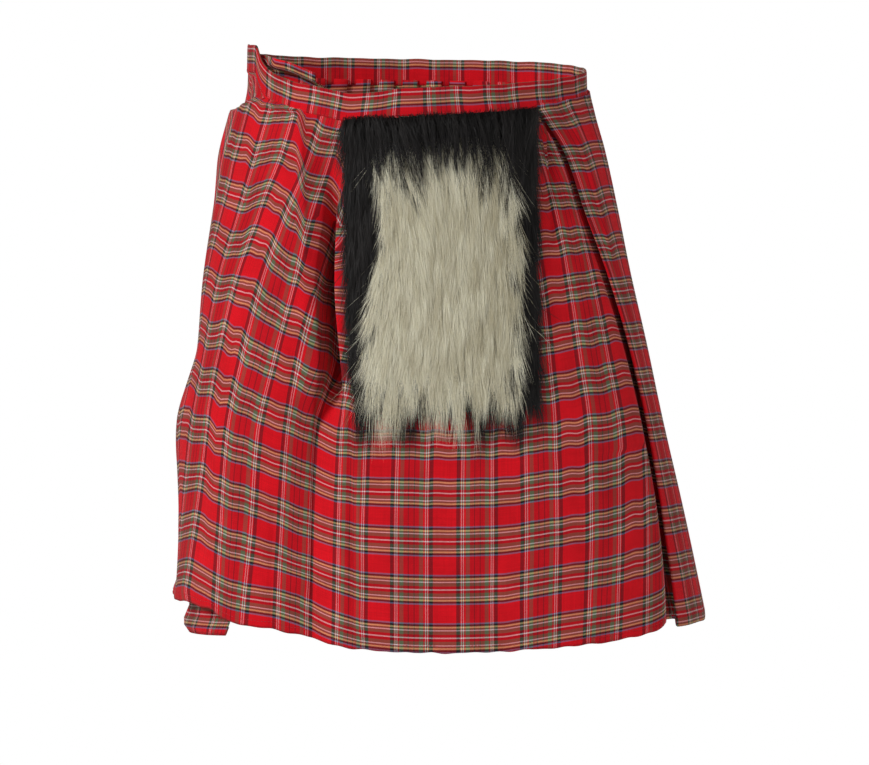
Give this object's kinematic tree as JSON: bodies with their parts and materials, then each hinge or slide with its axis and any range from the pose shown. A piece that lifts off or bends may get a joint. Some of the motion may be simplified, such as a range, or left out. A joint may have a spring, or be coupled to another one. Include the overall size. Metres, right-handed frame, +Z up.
{
  "type": "scottish kilt",
  "caption": "Worn wrap kilt of thin red tartan, with flat over apron, pleated back, under apron, waistband and a sewn-on fake fur sporran; hollow and open at waist and hem.",
  "frame": {"origin": "middle of the waist, level with the top edge of the waistband at the front", "axes": "+Z up out of the waist, -Y to the front, so +X is the wearer's left"},
  "size_m": [0.5797, 0.3856, 0.6301],
  "materials": {
    "waistband_cloth": "matt plain-woven red tartan, folded double",
    "over_apron_cloth": "matt plain-woven red tartan with thin white, yellow, black, green and blue lines",
    "back_cloth": "matt plain-woven red tartan, pressed into knife pleats",
    "under_apron_cloth": "matt plain-woven red tartan",
    "black_fur": "long combed black fake fur",
    "cream_fur": "long combed cream fake fur in pointed locks"
  },
  "bodies": {
    "root": {"waistband": "waistband_cloth", "over_apron": "over_apron_cloth", "pleated_back": "back_cloth", "under_apron": "under_apron_cloth", "sporran_black_fur": "black_fur", "sporran_cream_fur": "cream_fur"}
  },
  "joints": []
}
